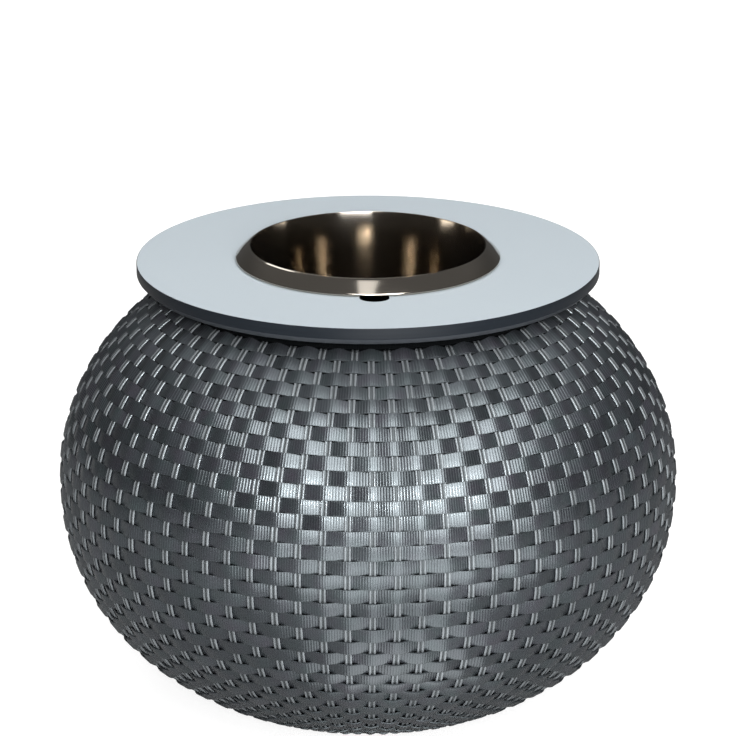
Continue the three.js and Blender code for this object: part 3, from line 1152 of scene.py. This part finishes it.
@dataclass(frozen=True)
class Lamp:
    """A soft rectangular lamp, which points at the object's middle or straight up."""

    name: str
    place: tuple[float, float, float]
    width: float
    height: float
    strength: float
    points_up: bool = False

    def build(self, level: float) -> None:
        """Hang the lamp, out of the camera's sight.

        Args:
            level: The height of the object's middle.
        """
        data = bpy.data.lights.new(self.name, "AREA")
        data.shape = "RECTANGLE"
        data.size = self.width
        data.size_y = self.height
        data.energy = self.strength * math.pi * self.width * self.height
        lamp = bpy.data.objects.new(self.name, data)
        lamp.location = self.place
        way = UPRIGHT if self.points_up else Vector((0, 0, level)) - lamp.location
        lamp.rotation_euler = way.to_track_quat("-Z", "Y").to_euler()
        lamp.visible_camera = False
        bpy.context.scene.collection.objects.link(lamp)


LAMPS = (
    Lamp("front_box", place=(0.8, -4.9, 2.0), width=3.0, height=3.6, strength=9.3),
    Lamp("key", place=(-0.1, -4.6, 2.1), width=0.5, height=0.5, strength=108),
    Lamp("high_box", place=(0.4, -3.1, 3.9), width=3.2, height=1.7, strength=9),
    Lamp("upper_strip", place=(-0.1, -1.25, 4.9), width=0.8, height=2.6, strength=1.6),
    Lamp("back_box", place=(-0.6, 3.2, 3.7), width=3.0, height=1.4, strength=3.0),
    Lamp("low_strip", place=(0.16, -1.6, 0.02), width=0.7, height=2.0, strength=4.2, points_up=True),
    Lamp("near_strip", place=(0.03, -0.42, 0.01), width=0.14, height=0.36, strength=2.0, points_up=True),
)


@dataclass
class Studio:
    """The plain floor, the background, the lamps and the camera."""

    widest_level: float
    camera_distance: float = 3.12
    camera_elevation: float = math.radians(20)
    camera_pitch: float = math.radians(18.4155)
    camera_turn: float = math.radians(2.7)
    lens: float = 180.3
    floor_size: float = 30
    floor_tone: Colour = (0.33, 0.33, 0.33)
    floor_glow: float = 0.85
    room_light: float = 0.3
    mirrored_horizon: float = 0.1
    mirrored_ceiling: float = 0.16
    horizon_top: float = 0.3
    ceiling_start: float = 0.65

    def build_camera(self) -> None:
        """Place the camera as it stood for the photograph."""
        data = bpy.data.cameras.new("camera")
        data.lens = self.lens
        camera = bpy.data.objects.new("camera", data)
        level = self.camera_distance * math.cos(self.camera_elevation)
        camera.location = (
            -level * math.sin(self.camera_turn),
            -level * math.cos(self.camera_turn),
            self.widest_level + self.camera_distance * math.sin(self.camera_elevation),
        )
        camera.rotation_euler = (math.pi / 2 - self.camera_pitch, 0, -self.camera_turn)
        bpy.context.scene.collection.objects.link(camera)
        bpy.context.scene.camera = camera

    def build_floor(self) -> None:
        """Lay the floor."""
        mesh = bmesh.new()
        bmesh.ops.create_grid(mesh, x_segments=1, y_segments=1, size=self.floor_size / 2)
        data = bpy.data.meshes.new("floor")
        mesh.to_mesh(data)
        mesh.free()
        floor = bpy.data.objects.new("floor", data)
        material = bpy.data.materials.new("pale floor")
        material.use_nodes = True
        graph = Graph(material.node_tree)
        pale = graph.node("BsdfDiffuse", {"Color": (*self.floor_tone, 1)}).outputs["BSDF"]
        seen = graph.node("LightPath").outputs
        shown = graph.node("Math", {0: seen["Is Camera Ray"], 1: self.floor_glow}, operation="MULTIPLY")
        glow = graph.node("Emission", {"Color": WHITE, "Strength": shown.outputs["Value"]})
        both = graph.node("AddShader", {0: pale, 1: glow.outputs["Emission"]})
        graph.surface(both.outputs["Shader"])
        data.materials.append(material)
        bpy.context.scene.collection.objects.link(floor)

    def build_room(self) -> None:
        """Light the room evenly, and show a white background."""
        world = bpy.data.worlds.new("room")
        world.use_nodes = True
        bpy.context.scene.world = world
        graph = Graph(world.node_tree)
        seen = graph.node("LightPath").outputs
        rays = {0: seen["Is Glossy Ray"], 1: seen["Is Transmission Ray"]}
        glossy = graph.node("Math", rays, operation="MAXIMUM").outputs["Value"]
        direction = graph.node("TexCoord").outputs["Generated"]
        height = graph.node("SeparateXYZ", {"Vector": direction}).outputs["Z"]
        fade = {
            "Value": height,
            "From Min": self.horizon_top,
            "From Max": self.ceiling_start,
            "To Min": self.mirrored_horizon,
            "To Max": self.mirrored_ceiling,
        }
        mirrored = graph.node("MapRange", fade, interpolation_type="SMOOTHSTEP").outputs["Result"]
        room, mirror, shown = (
            graph.node("Background", {"Color": WHITE, "Strength": strength}).outputs["Background"]
            for strength in (self.room_light, mirrored, 1)
        )
        inner = graph.node("MixShader", {"Fac": glossy, 1: room, 2: mirror}).outputs["Shader"]
        outer = graph.node("MixShader", {"Fac": seen["Is Camera Ray"], 1: inner, 2: shown}).outputs["Shader"]
        graph.surface(outer, "OutputWorld")

    def build(self) -> None:
        """Build the studio."""
        self.build_camera()
        self.build_floor()
        self.build_room()
        for lamp in LAMPS:
            lamp.build(self.widest_level)
        bpy.context.scene.view_settings.view_transform = "Standard"


def main() -> None:
    """Build the table in its order, then the studio."""
    logging.basicConfig(level=logging.INFO, format="%(message)s")
    curve = BodyCurve()
    WovenBody(curve).build()
    tubes = TubeFrame(curve)
    tubes.build()
    WrappedBorder(tubes, "top_border", turning=1, along=curve.length).build()
    WrappedBorder(tubes, "base_border", turning=-1, along=0).build()
    LaminateTop().build()
    IceBucket().build()
    Fasteners().build()
    dress_kept_nodes()
    Studio(curve.widest_level).build()


if __name__ == "__main__":
    main()
